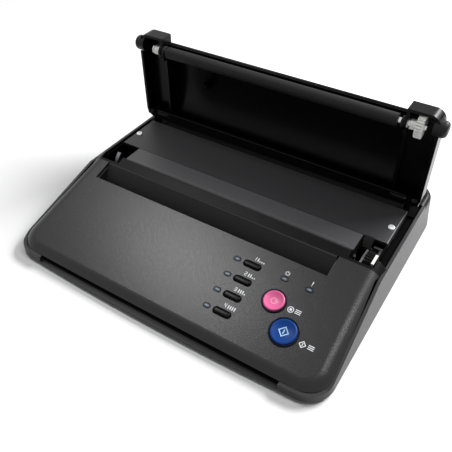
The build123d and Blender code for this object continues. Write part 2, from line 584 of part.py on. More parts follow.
# ---------------------------------------------------------------- panel lamps and buttons
def panel_piece(x, y, low, high, shape, grow=0.0):
    """Prism standing on the panel between two lifts."""
    with BuildPart() as piece:
        with BuildSketch(on_panel(x, y, lift=low)):
            if shape[0] == "slot":
                SlotOverall(shape[1] + 2 * grow, shape[2] + 2 * grow)
            else:
                Circle(shape[1] + grow)
        extrude(amount=high - low)
    return piece.part


with BuildPart() as option_lenses:
    for y in OPTION_YS:
        add(panel_piece(LAMP_X, y, -2.4, 0.25, LAMP_SHAPE))
save(option_lenses, "option_lenses")

with BuildPart() as status_lenses:
    for x in (POWER_X, ERROR_X):
        add(panel_piece(x, STATUS_Y, -2.4, 0.25, LAMP_SHAPE))
save(status_lenses, "status_lenses")


def push_button(x, y, shape, rounding, proud):
    """Cap through the panel with a keeper flange below the skin."""
    with BuildPart() as cap:
        add(panel_piece(x, y, -BUTTON_DEEP, proud, shape))
        crown = cap.faces().sort_by(Axis((0, 0, 0), (0, -sin(TILT), cos(TILT))))[-1]
        fillet(crown.edges(), radius=rounding)
        add(panel_piece(x, y, -BUTTON_DEEP, -WALL - 0.6, shape, CLEAR + 1.0))
    return cap.part


for number, y in enumerate(OPTION_YS, start=1):
    with BuildPart() as option_button:
        add(push_button(BUTTON_X, y, OPTION_SHAPE, 0.6, PROUD))
    save(option_button, f"option_button_{number}")

with BuildPart() as stop_button:
    add(push_button(STOP_X, STOP_Y, ("round", STOP_R), 0.9, PROUD + 0.4))
save(stop_button, "stop_button")

with BuildPart() as copy_button:
    add(push_button(COPY_X, COPY_Y, ("round", COPY_R), 0.9, PROUD + 0.4))
save(copy_button, "copy_button")

with BuildPart() as button_bezels:
    for x, y, r in ((STOP_X, STOP_Y, STOP_R), (COPY_X, COPY_Y, COPY_R)):
        add(panel_piece(x, y, 0.0, 0.8, ("round", r), CLEAR + BEZEL_W))
        add(panel_piece(x, y, -1.0, 2.0, ("round", r), CLEAR), mode=Mode.SUBTRACT)
save(button_bezels, "button_bezels")


# ---------------------------------------------------------------- lid
def arch_slab(front, back, x0, x1, closed_front=False):
    """Arched skin seen from the side, between two depths, its middle bulging to the rear."""
    mid = (HEEL_Z + EDGE_Z) / 2
    with BuildPart() as slab:
        with BuildSketch(Plane.YZ.offset(x0)):
            with BuildLine():
                a1 = ThreePointArc((back, HEEL_Z), (back + ARCH, mid), (back, EDGE_Z))
                a2 = Line(a1 @ 1, (front, EDGE_Z))
                if closed_front:
                    a3 = Line(a2 @ 1, (front, HEEL_Z))
                else:
                    a3 = ThreePointArc(a2 @ 1, (front + ARCH, mid), (front, HEEL_Z))
                Line(a3 @ 1, a1 @ 0)
            make_face()
        extrude(amount=x1 - x0)
    return slab.part


def lid_wing(bush):
    """Shallow tray at the right end of the lid, rising into the ear with its bearing eye."""
    x0, x1 = EAR_X, LID_HALF
    skin = SKIN_Y - SKIN_T
    with BuildPart() as wing:
        with BuildSketch(Plane.XZ.offset(-SKIN_Y)):
            with Locations(((x0 + x1) / 2, (HEEL_Z + EAR_Z) / 2)):
                Rectangle(x1 - x0, EAR_Z - HEEL_Z)
        extrude(amount=SKIN_Y - RIM_Y)
        outer = wing.edges().filter_by(Axis.Y).filter_by(lambda e: e.center().X > x1 - 1)
        fillet(outer, radius=9.0)
        with BuildSketch(Plane.XZ.offset(-skin)):
            with Locations(((x0 + x1) / 2, (HEEL_Z + EAR_Z) / 2)):
                Rectangle(x1 - x0 - 2 * LID_WALL, EAR_Z - HEEL_Z - 2 * LID_WALL)
        extrude(amount=30.0, mode=Mode.SUBTRACT)
        # low partition beside the arched middle
        add(brick(x0 - 1, x0 + LID_WALL, 60.0, 71.0, HEEL_Z + 6.0, PLATEN_Z - 9.0),
            mode=Mode.SUBTRACT)
        # bearing eye for the roller bush
        add(rod(PLATEN_Y, PLATEN_Z, bush + 1.6, x0, x0 + 2.2))
        add(brick(x0, x0 + 2.2, PLATEN_Y, skin, PLATEN_Z - 5.6, PLATEN_Z + 5.6))
        add(rod(PLATEN_Y, PLATEN_Z, bush, x0 - 1, x0 + 4.0), mode=Mode.SUBTRACT)
        # release knob opening and hinge bracket notch
        add(rod(KNOB_Y, KNOB_Z, KNOB_R + CLEAR, x1 - 4.0, x1 + 1.0), mode=Mode.SUBTRACT)
        add(rod(PIVOT_Y, PIVOT_Z, HINGE_R, BRACKET_X1 + CLEAR, x1 - 1.0))
        add(brick(BRACKET_X0 - CLEAR, BRACKET_X1 + CLEAR, 60.0, skin, 30.0, PIVOT_Z + 6.0),
            mode=Mode.SUBTRACT)
        add(rod(PIVOT_Y, PIVOT_Z, PIN_R + RUN, BRACKET_X1, BRACKET_X1 + 3.8), mode=Mode.SUBTRACT)
    return wing.part


with BuildPart() as lid_shell:
    mid_x = EAR_X + LID_WALL
    add(arch_slab(SKIN_Y - SKIN_T, SKIN_Y, -mid_x, mid_x))
    for end in mirrored(arch_slab(SKIN_Y - SKIN_T, SKIN_Y, EAR_X, mid_x, closed_front=True)):
        add(end)
    add(lid_wing(BUSH_R_GEAR_SIDE))
    add(mirror(lid_wing(BUSH_R), about=Plane.YZ))
    add(brick(-EAR_X - 0.5, EAR_X + 0.5, RIM_Y, SKIN_Y - 1.0, HEEL_Z, HEEL_Z + LID_WALL))
    add(brick(-EAR_X - 0.5, EAR_X + 0.5, SKIN_Y - 4.0, SKIN_Y - 1.0, EDGE_Z - 2.0, EDGE_Z))
    add(rod(PIVOT_Y, PIVOT_Z, HINGE_R, -BRACKET_X0 + CLEAR, BRACKET_X0 - CLEAR))
    for cut in mirrored(rod(PIVOT_Y, PIVOT_Z, PIN_R + RUN, BRACKET_X0 - 9.0, BRACKET_X0 + 2.0)):
        add(cut, mode=Mode.SUBTRACT)
    add(brick(-EAR_X - 0.5, EAR_X + 0.5, RIM_Y, RIM_Y + LID_WALL, HEEL_Z, RIM_Z))
    add(profile([(76.0, 81.5), (86.6, 81.5), (86.6, 86.5), (76.0, 86.5)], -75.5, -70.5)
        & rod(80.0, 84.0, 40.0, -76.0, -70.0))
save(lid_shell, "lid_shell")

with BuildPart() as hinge_brackets:
    for side in mirrored(rod(PIVOT_Y, PIVOT_Z, HINGE_R + 0.6, BRACKET_X0, BRACKET_X1)):
        add(side)
    for side in mirrored(brick(BRACKET_X0, BRACKET_X1, PIVOT_Y - 3.0, PIVOT_Y + 3.0,
                               LEDGE_Z, PIVOT_Z)):
        add(side)
    for side in mirrored(brick(BRACKET_X0 - 4.0, LID_HALF - 1.7, PIVOT_Y - 5.0, PIVOT_Y + 9.0,
                               LEDGE_Z, LEDGE_Z + 2.0)):
        add(side)
    for cut in mirrored(rod(PIVOT_Y, PIVOT_Z, PIN_R, BRACKET_X0 - 1.0, BRACKET_X1 + 1.0)):
        add(cut, mode=Mode.SUBTRACT)
save(hinge_brackets, "hinge_brackets")

with BuildPart() as hinge_pins:
    for pin in mirrored(rod(PIVOT_Y, PIVOT_Z, PIN_R, BRACKET_X0 - 8.0, BRACKET_X1 + 3.4)):
        add(pin)
save(hinge_pins, "hinge_pins")

# ---------------------------------------------------------------- platen roller
with BuildPart() as platen_shaft:
    left_end = -EAR_X - BUSH_LEFT_OUT
    add(rod(PLATEN_Y, PLATEN_Z, SHAFT_R, left_end - 2.4, GEAR_X1 + 2.0))
    add(rod(PLATEN_Y, PLATEN_Z, 3.7, EAR_X + 3.3, EAR_X + 4.0))
    add(rod(PLATEN_Y, PLATEN_Z, 3.7, left_end - 1.3, left_end - 0.6))
save(platen_shaft, "platen_shaft")

with BuildPart() as platen_sleeve:
    add(rod(PLATEN_Y, PLATEN_Z, PLATEN_R, -PLATEN_HALF, PLATEN_HALF))
    add(rod(PLATEN_Y, PLATEN_Z, SHAFT_R, -EAR_X, EAR_X), mode=Mode.SUBTRACT)
save(platen_sleeve, "platen_sleeve")

with BuildPart() as platen_gear:
    add(gear(PLATEN_Y, PLATEN_Z, PLATEN_GEAR_R, 26, SHAFT_R))
    add(rod(PLATEN_Y, PLATEN_Z, 3.9, EAR_X + 4.4, GEAR_X0))
    add(rod(PLATEN_Y, PLATEN_Z, SHAFT_R, EAR_X, GEAR_X1 + 3.0), mode=Mode.SUBTRACT)
save(platen_gear, "platen_gear")

with BuildPart() as platen_bushes:
    add(rod(PLATEN_Y, PLATEN_Z, BUSH_R, -EAR_X - BUSH_LEFT_OUT, 1.0 - EAR_X))
    add(rod(PLATEN_Y, PLATEN_Z, BUSH_R_GEAR_SIDE, EAR_X - 1.0, EAR_X + 2.8))
    add(rod(PLATEN_Y, PLATEN_Z, BUSH_R + 0.9, SLIP - EAR_X, 2.4 - EAR_X))
    add(rod(PLATEN_Y, PLATEN_Z, BUSH_R_GEAR_SIDE + 0.9, EAR_X - 2.4, EAR_X - SLIP))
    add(rod(PLATEN_Y, PLATEN_Z, SHAFT_R + RUN, -WIDTH / 2, WIDTH / 2), mode=Mode.SUBTRACT)
save(platen_bushes, "platen_bushes")


def release_knob():
    """Round press knob in the outer wall of the right-hand ear."""
    with BuildPart() as knob:
        add(rod(KNOB_Y, KNOB_Z, KNOB_R, LID_HALF - 5.2, KNOB_OUT))
        fillet(knob.faces().sort_by(Axis.X)[-1].edges(), radius=3.2)
    return knob.part


with BuildPart() as release_button_right:
    add(release_knob())
save(release_button_right, "release_button_right")

with BuildPart() as release_button_left:
    add(mirror(release_knob(), about=Plane.YZ))
save(release_button_left, "release_button_left")
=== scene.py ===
"""Desktop thermal stencil copier, lid standing open.

Metres, +X to the operator's right, +Y to the rear, +Z up, origin on the floor under the machine.
"""
import math

import bmesh
import bpy
import numpy as np
from mathutils import Matrix, Vector


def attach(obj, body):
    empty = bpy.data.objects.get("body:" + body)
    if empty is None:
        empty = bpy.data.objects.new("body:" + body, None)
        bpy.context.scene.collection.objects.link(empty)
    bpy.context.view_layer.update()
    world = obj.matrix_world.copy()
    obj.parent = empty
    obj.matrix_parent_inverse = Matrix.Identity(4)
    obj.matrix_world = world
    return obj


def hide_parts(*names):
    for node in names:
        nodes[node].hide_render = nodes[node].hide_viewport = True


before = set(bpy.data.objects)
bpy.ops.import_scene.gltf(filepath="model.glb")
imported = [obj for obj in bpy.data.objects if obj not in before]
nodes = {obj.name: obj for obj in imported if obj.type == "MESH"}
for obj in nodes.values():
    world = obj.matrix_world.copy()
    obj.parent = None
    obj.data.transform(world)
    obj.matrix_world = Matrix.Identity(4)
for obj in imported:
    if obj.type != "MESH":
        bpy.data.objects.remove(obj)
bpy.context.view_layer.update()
MM = 0.001

# sizes shared with the solids, in millimetres
PANEL_SLOPE, PANEL_REAR_Y, PANEL_REAR_Z = 0.27, -1.9, 40.5
TILT = math.atan(PANEL_SLOPE)
PANEL_NORMAL = (0.0, -math.sin(TILT), math.cos(TILT))
OPTION_X, OPTION_YS = 49.9, (-45.2, -59.2, -73.2, -87.2)
LAMP_X = 37.0
STOP_AT, STOP_R = (78.6, -63.1), 8.0
COPY_AT, COPY_R = (95.9, -80.2), 9.7
POWER_AT, ERROR_AT = (76.8, -44.6), (96.8, -44.6)
FLANGE_LOW, FLANGE_HIGH = -4.1, -3.1    # collar that holds a key in, counted from the panel
PLATEN_Y, PLATEN_Z, SHAFT_BORE = 68.0, 112.1, 2.56


# ---------------------------------------------------------------- materials
# The real grain of a spark-eroded mould or of powder coat is 0.1 to 0.2 mm, too fine to show.
# It is drawn coarser, as a bump of about 0.5 mm and as flecks of tone of 1.3 mm.
FLECK_MM = 1.3
PATCHES_PER_METRE = 28.0    # slow drift of tone over a surface, one patch in 36 mm


def colour(code):
    """sRGB hex to linear RGBA: c/12.92 below 0.04045, else ((c+0.055)/1.055)^2.4."""
    parts = np.array([int(code[i:i + 2], 16) / 255 for i in (1, 3, 5)])
    linear = np.where(parts <= 0.04045, parts / 12.92, ((parts + 0.055) / 1.055) ** 2.4)
    return (*linear.tolist(), 1.0)


def put(tree, kind, inputs=(), **settings):
    """Adds one node, sets its fields, and fills its inputs with values or links."""
    made = tree.nodes.new(kind)
    for key, value in settings.items():
        setattr(made, key, value)
    for key, value in dict(inputs).items():
        if isinstance(value, bpy.types.NodeSocket):
            tree.links.new(value, made.inputs[key])
        else:
            made.inputs[key].default_value = value
    return made


def finish_of(name, base, roughness, metallic=0.0, ior=1.5, grain_mm=0.6, grain=0.03,
              mottle=0.06, coat=0.0, streak=(1.0, 1.0, 1.0), speckle=0.0, painted_shade_behind=None,
              wear=0.12):
    """A moulded, painted or metal finish. grain_mm is the size of its texture and grain the
    depth of the bump in mm; mottle is how far the tone strays and speckle the share of that
    which follows the flecks; wear is how far the roughness strays; streak stretches the pattern
    along an axis, as drawing a metal does; behind a given depth, in mm, less light is mirrored,
    a painted shade that darkens the surface there."""
    material = bpy.data.materials.new(name)
    material.use_nodes = True
    tree = material.node_tree
    shader = tree.nodes["Principled BSDF"]
    shader.inputs["Metallic"].default_value = metallic
    if not metallic:
        shader.inputs["IOR"].default_value = ior
    if coat:
        shader.inputs["Coat Weight"].default_value = coat
        shader.inputs["Coat Roughness"].default_value = 0.05
    place = put(tree, "ShaderNodeTexCoord").outputs["Object"]
    place = put(tree, "ShaderNodeMapping", {"Vector": place, "Scale": streak}).outputs["Vector"]
    fine = put(tree, "ShaderNodeTexNoise", {"Vector": place, "Scale": 1000.0 / grain_mm,
                                            "Detail": 3.0, "Roughness": 0.6})
    broad = put(tree, "ShaderNodeTexNoise", {"Vector": place, "Scale": PATCHES_PER_METRE,
                                             "Detail": 4.0})
    flecks = put(tree, "ShaderNodeTexNoise", {"Vector": place, "Scale": 1000.0 / FLECK_MM,
                                              "Detail": 2.0})
    share = put(tree, "ShaderNodeMix", {"Factor": speckle, "A": broad.outputs["Fac"],
                                        "B": flecks.outputs["Fac"]}, data_type="FLOAT")
    spread = put(tree, "ShaderNodeMapRange", {"Value": share.outputs["Result"], "From Min": 0.32,
                                              "From Max": 0.68})
    dark = tuple(c * (1 - mottle) for c in colour(base)[:3]) + (1.0,)
    light = tuple(min(1.0, c * (1 + mottle) + 0.0006) for c in colour(base)[:3]) + (1.0,)
    tone = put(tree, "ShaderNodeMix", {"Factor": spread.outputs["Result"], "A": dark, "B": light},
               data_type="RGBA")
    tree.links.new(tone.outputs["Result"], shader.inputs["Base Color"])
    rough = put(tree, "ShaderNodeMapRange", {"Value": fine.outputs["Fac"], "From Min": 0.3,
                                             "From Max": 0.7,
                                             "To Min": max(0.02, roughness * (1 - wear)),
                                             "To Max": min(1.0, roughness * (1 + wear))})
    tree.links.new(rough.outputs["Result"], shader.inputs["Roughness"])
    # painted shade: behind the given depth the specular level drops from 0.5 to 0.12, so less
    # light is mirrored and the surface looks darker there
    if painted_shade_behind is not None:
        depth = put(tree, "ShaderNodeSeparateXYZ", {"Vector": place}).outputs["Y"]
        painted_shade_level = put(tree, "ShaderNodeMapRange", {"Value": depth,
                                                "From Min": (painted_shade_behind - 0.2) * MM,
                                                "From Max": (painted_shade_behind + 0.2) * MM,
                                                "To Min": 0.5, "To Max": 0.12}).outputs["Result"]
        tree.links.new(painted_shade_level, shader.inputs["Specular IOR Level"])
    bump = put(tree, "ShaderNodeBump", {"Height": fine.outputs["Fac"], "Strength": 1.0,
                                        "Distance": grain * MM})
    tree.links.new(bump.outputs["Normal"], shader.inputs["Normal"])
    return material


FINISH = {
    # a grain that spreads the lamp into one wide soft sheen; behind y = -11.4 mm less light is
    # mirrored, a painted shade that keeps the ledge behind the recess dark
    "panel_abs": finish_of("ABS, spark-textured black panel", "#060607", 0.29, ior=1.42,
                           grain_mm=0.5, grain=0.04, mottle=0.3, speckle=0.9,
                           painted_shade_behind=-11.4),
    # a little greyer and smoother than the panel, so that the side walls read as a second part
    "casing_abs": finish_of("ABS, satin grey-black casing", "#202022", 0.34, ior=1.40,
                            grain_mm=0.7, grain=0.03),
    # black frame plastic, made near-black with next to no reflection as painted shade, so that
    # the frame and the wells read as shadow between the shiny parts
    "shadow_abs": finish_of("ABS, black frame darkened to painted shade", "#030303", 0.80, ior=1.1,
                            grain_mm=0.8, grain=0.03),
    # matt and faintly flecked, an even dark grey band across the panel
    "recess_abs": finish_of("ABS, matt black lining", "#1C1C1D", 0.60, ior=1.3, mottle=0.15,
                            speckle=0.8),
    # milky blue-grey, the pale spot in the middle of each lamp window
    "lamp_core": finish_of("diffusing LED lens", "#8FA3B4", 0.45, grain_mm=2.0, grain=0.002),
    # a dark metal glint in the left well
    "lever_steel": finish_of("steel, blued lever", "#77787B", 0.40, 1.0),
    # painted shadow: soft black with no shine, a thin dark line behind the ledge where the gap is
    # in shade
    "gap_shadow_black": finish_of("black painted gap shadow", "#050505", 0.9, grain_mm=0.5, grain=0.05),
    # black with a weak satin shine, seen only through the slots
    "inner_abs": finish_of("ABS, satin black inner frame", "#0E0E0F", 0.42, grain_mm=0.8,
                           grain=0.03),
    # deep black that mirrors the room in smooth, slightly blurred shapes
    "gloss_abs": finish_of("ABS, polished black lid", "#040404", 0.22, ior=1.20, grain_mm=3.0,
                           grain=0.004),
    # fine dry grain, dark grey and nearly even in tone
    "plate_paint": finish_of("powder coat on steel plate", "#262628", 0.46, grain_mm=0.5,
                             grain=0.07, mottle=0.2, speckle=0.9),
    # mid grey with a soft shine, the lightest of the painted strips
    "head_paint": finish_of("satin enamel on head cover", "#4B4B4D", 0.42, grain_mm=0.5,
                            grain=0.05, mottle=0.14, speckle=0.9),
    # a grey line, smoother than the strip that it lies on
    "glaze": finish_of("fired glaze over heater line", "#555557", 0.40, grain_mm=0.5,
                       grain=0.04),
    # bright cool metal with crisp glints
    "zinc": finish_of("steel, bright zinc plated", "#B9BBBE", 0.26, 1.0, grain_mm=0.5,
                      grain=0.01),
    # pale metal without a sharp glint, so that a small screw head stays light from any side
    "screw_zinc": finish_of("steel, dull zinc plated", "#DCDDDF", 0.50, 1.0, grain_mm=0.5,
                            grain=0.01),
    # bright bar with faint lines along its length
    "brushed": finish_of("steel, drawn bar", "#C2C3C6", 0.22, 1.0, grain_mm=0.35, grain=0.01,
                         streak=(0.06, 1.0, 1.0)),
    # almost black, with a weak even shine
    "grey_paint": finish_of("grey enamel on bracket", "#1A1A1B", 0.40),
    # velvety dark grey with a wide dim highlight along the roller
    "rubber": finish_of("nitrile rubber, ground roller", "#0C0C0D", 0.6, ior=1.3, grain_mm=0.4,
                        grain=0.03),
    # dull and slightly rough, with no highlight
    "foot_rubber": finish_of("moulded rubber foot", "#1C1C1E", 0.75, grain_mm=0.7, grain=0.05),
    # waxy off-white that stands out against the black lid
    "nylon": finish_of("acetal, natural white", "#E9E9E4", 0.35, grain_mm=1.2, grain=0.02,
                       mottle=0.03),
    # green lacquer with a clear shine
    "board": finish_of("glass-epoxy board, green mask", "#1D5A36", 0.30),
    # flat black blocks
    "chips": finish_of("moulded epoxy packages", "#18181A", 0.55),
    # chalky warm white
    "ceramic": finish_of("alumina ceramic", "#CFCBC2", 0.45),
    # pale metal with lines along the pressing direction
    "extrusion": finish_of("aluminium extrusion", "#B5B7BA", 0.35, 1.0, streak=(0.05, 1, 1)),
    # warm yellow-grey metal
    "brass": finish_of("brass, nickel flash", "#C8B27A", 0.28, 1.0),
    # dull black, a shade rougher than the casing
    "socket": finish_of("glass-filled nylon socket", "#131314", 0.5),
    # dark blue-grey, smooth, like tinted glass
    "lamp": finish_of("polycarbonate lamp window", "#1D2A3A", 0.42, ior=1.58, grain_mm=2.0,
                      grain=0.004),
    # black, a little oily
    "black_acetal": finish_of("acetal, black gear stock", "#070708", 0.45, ior=1.3,
                              grain_mm=0.8),
    # wet-looking black with one narrow highlight
    "key_abs": finish_of("ABS, polished black key", "#040405", 0.22, ior=1.18, grain_mm=2.0,
                         grain=0.004),
    # clean strong blue whose dish carries a soft bright crescent
    "copy_cap": finish_of("acrylic, deep blue cap", "#05387E", 0.36, ior=1.26, grain_mm=3.0,
                          grain=0.004),
    # clean pink under a thin clear skin
    "stop_cap": finish_of("acrylic, pink cap", "#DD6296", 0.36, ior=1.40, grain_mm=3.0,
                          grain=0.004, coat=0.1),
    # a dark outline with a trace of blue: the own colour of the bezels and lamp window rims, and
    # round the two caps a painted shadow of the gap
    "ring_abs": finish_of("ABS, near-black blue ring", "#080C1A", 0.34, ior=1.18),
    # flat opaque ink, crisp against the grain of the panel
    "white_ink": finish_of("screen ink, white", "#E6E8EA", 0.6, grain_mm=1.5, grain=0.003,
                           mottle=0.02),
    "pale_blue_ink": finish_of("screen ink, pale blue", "#A8CDF2", 0.5, grain_mm=1.5,
                               grain=0.003, mottle=0.02),
    "pale_pink_ink": finish_of("screen ink, pale pink", "#F6B9CC", 0.5, grain_mm=1.5,
                               grain=0.003, mottle=0.02),
}
FINISH_OF_NODE = {
    "panel_abs": ("top_cover", "rear_cover"),
    "casing_abs": ("lower_casing",),
    "shadow_abs": ("mid_frame", "well_liner_left", "well_collar_right", "hinge_brackets"),
    "inner_abs": ("document_chute", "image_sensor"),
    "gloss_abs": ("lid_shell",),
    "plate_paint": ("stencil_plate",),
    "head_paint": ("head_cover",),
    "glaze": ("heater_line",),
    "screw_zinc": ("plate_screws",),
    "zinc": ("head_springs", "head_frame", "gear_plate", "stepper_motor", "base_screws",
             "hinge_pins"),
    "brushed": ("feed_shaft", "platen_shaft"),
    "grey_paint": ("latch_bracket_right",),
    "rubber": ("feed_rings", "platen_sleeve"),
    "foot_rubber": ("rubber_feet",),
    "nylon": ("feed_bearing", "platen_gear", "platen_bushes"),
    "lever_steel": ("latch_lever_left",),
    "black_acetal": ("latch_tongue_right", "release_button_left", "release_button_right",
                     "idler_gear_head", "drive_gear", "idler_gear_feed", "feed_gear"),
    "board": ("main_board", "supply_board", "control_board"),
    "chips": ("board_parts", "tact_switches"),
    "ceramic": ("thermal_head",),
    "extrusion": ("head_heatsink",),
    "brass": ("motor_pinion", "inlet_pins"),
    "socket": ("mains_inlet", "rocker_housing"),
    "lamp": ("option_lenses", "status_lenses"),
    "key_abs": ("power_rocker", "option_button_1", "option_button_2", "option_button_3",
                "option_button_4"),
    "copy_cap": ("copy_button",),
    "stop_cap": ("stop_button",),
    "ring_abs": ("button_bezels",),
}
for finish, names in FINISH_OF_NODE.items():
    for name in names:
        for entry in nodes[name].material_slots:
            entry.material = FINISH[finish]


# ---------------------------------------------------------------- mesh helpers
def piece(name, points, faces, finish, body, smooth=True):
    """Mesh object from an (n, 3) array in millimetres and a list of faces, riding on a body.
    Points that coincide are merged, so that seams and poles are closed."""
    mesh = bpy.data.meshes.new(name)
    mesh.from_pydata((np.asarray(points, float) * MM).tolist(), [], [tuple(f) for f in faces])
    work = bmesh.new()
    work.from_mesh(mesh)
    bmesh.ops.remove_doubles(work, verts=work.verts, dist=1e-7)
    work.to_mesh(mesh)
    work.free()
    mesh.update()
    mesh.polygons.foreach_set("use_smooth", np.full(len(mesh.polygons), smooth))
    made = bpy.data.objects.new(name, mesh)
    bpy.context.scene.collection.objects.link(made)
    mesh.materials.append(FINISH[finish])
    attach(made, body)
    return made


def grid_faces(rows, columns):
    """Quads of a rows x columns grid, numbered row by row and closed round the columns."""
    i, j = np.meshgrid(np.arange(rows - 1), np.arange(columns), indexing="ij")
    k = (j + 1) % columns
    quads = np.stack([i * columns + j, i * columns + k, (i + 1) * columns + k,
                      (i + 1) * columns + j], -1)
    return quads.reshape(-1, 4).tolist()


def panel_height(y):
    """Height of the panel surface at depth y: its rear height plus slope times the distance."""
    return PANEL_REAR_Z + PANEL_SLOPE * (y - PANEL_REAR_Y)


def panel_point(x, y):
    """Point of the panel surface above x, y."""
    return (x, y, panel_height(y))


def on_panel(x, v, lift, y_ref):
    """Panel frame to space: v runs up the slope from y_ref, lift stands along the normal."""
    y = y_ref + v * math.cos(TILT) - lift * math.sin(TILT)
    z = panel_height(y_ref) + v * math.sin(TILT) + lift * math.cos(TILT)
    return np.stack(np.broadcast_arrays(x, y, z), -1)


def panel_marks(name, outlines, finish, body, lift=0.05, dish=None):
    """Flat ink shapes on the panel: each outline is (x, y_ref, list of (u, v) corners). On a
    dished cap (radius, depth) the lift grows by depth * (distance / radius)^2."""
    points, faces = [], []
    for x0, y0, corners in outlines:
        c = np.asarray(corners, float)
        area = np.sum(c[:, 0] * np.roll(c[:, 1], -1) - np.roll(c[:, 0], -1) * c[:, 1])
        c = c if area > 0 else c[::-1]
        faces.append(list(range(len(points), len(points) + len(c))))
        rise = 0.0 if dish is None else dish[1] * np.sum(c ** 2, axis=1) / dish[0] ** 2
        points.extend(on_panel(x0 + c[:, 0], c[:, 1], lift + rise, y0).tolist())
    return piece(name, points, faces, finish, body, smooth=False)


def turned(name, profile, centre, axis, finish, body, around=96):
    """Surface of revolution: each profile point (r, h) sweeps a circle of radius r at height h
    along the axis, its angle the second parameter."""
    r, h = np.asarray(profile, float).T
    a = np.linspace(0, 2 * math.pi, around, endpoint=False)
    w = np.asarray(axis, float)
    w = w / np.linalg.norm(w)
    u = np.cross(w, (0, 1, 0) if abs(w[1]) < 0.9 else (0, 0, 1))
    u = u / np.linalg.norm(u)
    v = np.cross(w, u)
    ring = np.cos(a)[:, None] * u + np.sin(a)[:, None] * v
    points = np.asarray(centre) + r[:, None, None] * ring[None] + h[:, None, None] * w
    return piece(name, points.reshape(-1, 3), grid_faces(len(r), around), finish, body)


def prism(name, outline, x0, x1, finish, body):
    """Side-view outline of (y, z) points swept straight along X from x0 to x1, ends closed."""
    y, z = np.asarray(outline, float).T
    x = np.array([x0, x1], float)
    points = np.stack(np.broadcast_arrays(x[:, None], y[None], z[None]), -1).reshape(-1, 3)
    n = len(y)
    faces = [f[::-1] for f in grid_faces(2, n)]
    faces += [list(range(n)), list(range(2 * n - 1, n - 1, -1))]
    if np.sum(y * np.roll(z, -1) - np.roll(y, -1) * z) > 0:
        faces = [f[::-1] for f in faces]
    return piece(name, points, faces, finish, body, smooth=False)


# ---------------------------------------------------------------- generic marks on the panel
def bar(x0, y0, x1, y1):
    """Rectangle between two corners."""
    return [(x0, y0), (x1, y0), (x1, y1), (x0, y1)]


def segments(digit, width, height, stroke):
    """Seven-bar numeral: bars a to g as rectangles inside a width x height cell."""
    bars = {"a": (0, height - stroke, width, height), "d": (0, 0, width, stroke),
            "g": (0, (height - stroke) / 2, width, (height + stroke) / 2),
            "f": (0, height / 2, stroke, height),
            "b": (width - stroke, height / 2, width, height),
            "e": (0, 0, stroke, height / 2), "c": (width - stroke, 0, width, height / 2)}
    lit = {1: "bc", 2: "abged", 3: "abgcd", 4: "fgbc"}[digit]
    return [bar(*bars[k]) for k in lit]


def ring_arcs(radius, stroke, start, stop, steps=24):
    """Ring sector as quads between two circles: r (cos a, sin a) for the inner and the outer r,
    with a running from start to stop in degrees."""
    a = np.radians(np.linspace(start, stop, steps + 1))
    round_it = np.stack([np.cos(a), np.sin(a)], -1)
    inner, outer = (radius - stroke / 2) * round_it, (radius + stroke / 2) * round_it
    return list(np.stack([inner[:-1], outer[:-1], outer[1:], inner[1:]], 1))


def lozenge(half, stroke):
    """Square on its corner, as four bars between two such squares, with an upright bar inside."""
    inner = half - stroke * 1.4
    corners = np.array([(0, -1), (1, 0), (0, 1), (-1, 0)], float)
    after = np.roll(corners, -1, axis=0)
    sides = np.stack([inner * corners, half * corners, half * after, inner * after], 1)
    w, e = stroke / 2, half * 0.42
    return [*sides, bar(-w, -e, w, e)]


def text_lines(x, y):
    """Three short level bars, one above the other, starting at x and centred on y."""
    return [(x, y, bar(0, v, 4.4, v + 0.6)) for v in (-1.3, 0.0, 1.3)]


MARK_RISE = 4.4      # foot of the marks above the middle of an option key
SCALE_STEP, SCALE_WIDE = 1.7, 0.85
STATUS_RISE = 4.9    # the same for the two status lamps
ink = []
for number, y in enumerate(OPTION_YS, start=1):
    foot = y + MARK_RISE
    ink += [(OPTION_X - 1.6, foot, part) for part in segments(number, 1.9, 3.3, 0.5)]
    for k in range(4):
        tall = 2.9 if k < number else 1.1
        ink += [(OPTION_X + 1.6 + SCALE_STEP * k, foot, bar(0, 0, SCALE_WIDE, tall))]
power_mark = (POWER_AT[0], POWER_AT[1] + STATUS_RISE)
error_mark = (ERROR_AT[0], ERROR_AT[1] + STATUS_RISE)
ink += [(*power_mark, arc) for arc in ring_arcs(1.5, 0.5, 125, 415)]
ink += [(*power_mark, bar(-0.25, 0.3, 0.25, 2.1))]
ink += [(*error_mark, [(-0.3, -0.6), (0.3, -0.6), (0.4, 1.9), (-0.4, 1.9)]),
        (*error_mark, bar(-0.3, -1.7, 0.3, -1.1))]
stop_mark_y, copy_mark_y = STOP_AT[1] - 0.4, COPY_AT[1] - 2.0
ink += [(STOP_AT[0] + 13.6, stop_mark_y, arc) for arc in ring_arcs(2.1, 0.6, 0, 360)]
ink += [(STOP_AT[0] + 13.6, stop_mark_y, bar(-0.9, -0.9, 0.9, 0.9))]
ink += text_lines(STOP_AT[0] + 17.0, stop_mark_y)
ink += [(COPY_AT[0] + 15.4, copy_mark_y, side) for side in lozenge(2.8, 0.6)]
ink += text_lines(COPY_AT[0] + 19.4, copy_mark_y)
panel_marks("panel_marks_white", ink, "white_ink", "base")


# ---------------------------------------------------------------- round keys
CAP_TOP, CAP_WALL_TOP, CAP_FLANGE = 1.8, -0.5, 1.3
COPY_RIM, COPY_DISH = 1.3, 1.3
STOP_RIM, STOP_DISH = 1.0, 1.4


